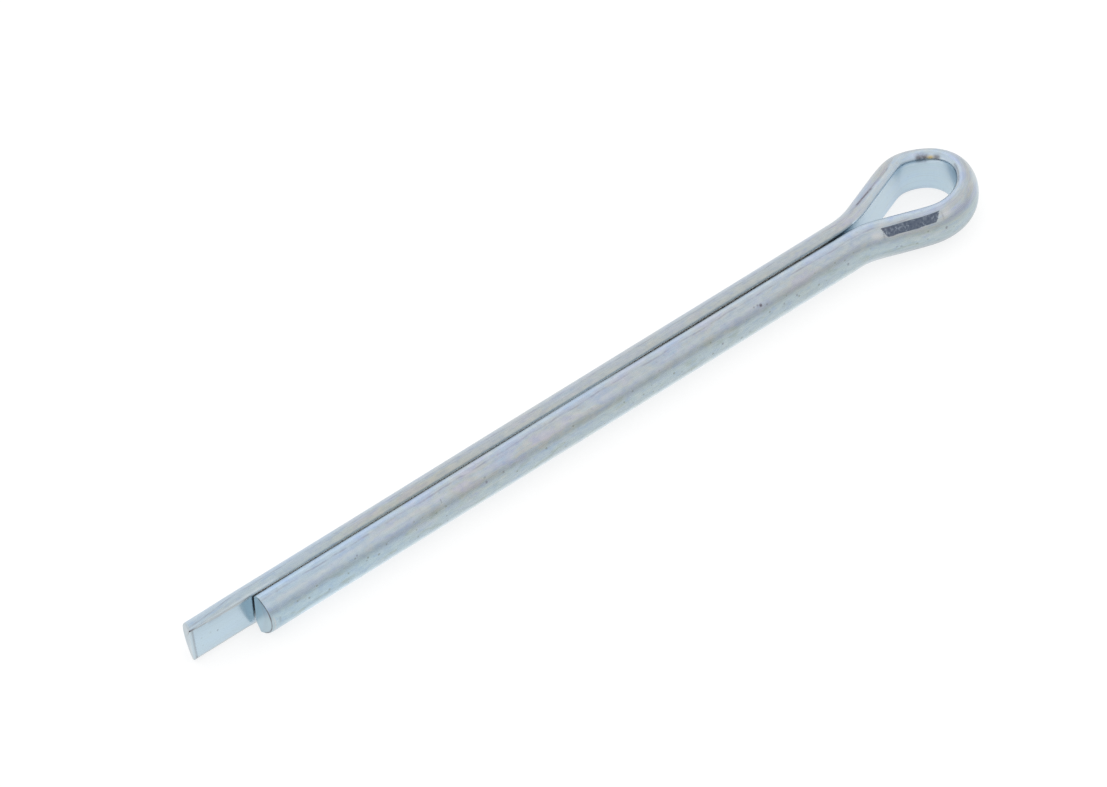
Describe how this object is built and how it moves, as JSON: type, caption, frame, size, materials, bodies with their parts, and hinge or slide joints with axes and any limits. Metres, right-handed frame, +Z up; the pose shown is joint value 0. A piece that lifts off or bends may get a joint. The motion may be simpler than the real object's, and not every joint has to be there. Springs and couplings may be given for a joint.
{
  "type": "cotter pin",
  "caption": "Zinc-plated split pin of half-round wire: a round shank of two legs, one longer with a slanted end, bent back on itself into a teardrop eye.",
  "frame": {"origin": "on the shank's axis, where both legs start to spread into the eye", "axes": "+X runs along the shank from the eye to the tips, the short leg is on the +Y side, and +Z is up from the surface that the pin lies on"},
  "size_m": [0.0888, 0.0099, 0.0044],
  "materials": {
    "zinc_plate": "bright blue-clear zinc plating over drawn steel wire, satin with fine lengthwise draw lines"
  },
  "bodies": {
    "root": {"cotter_pin": "zinc_plate"}
  },
  "joints": []
}
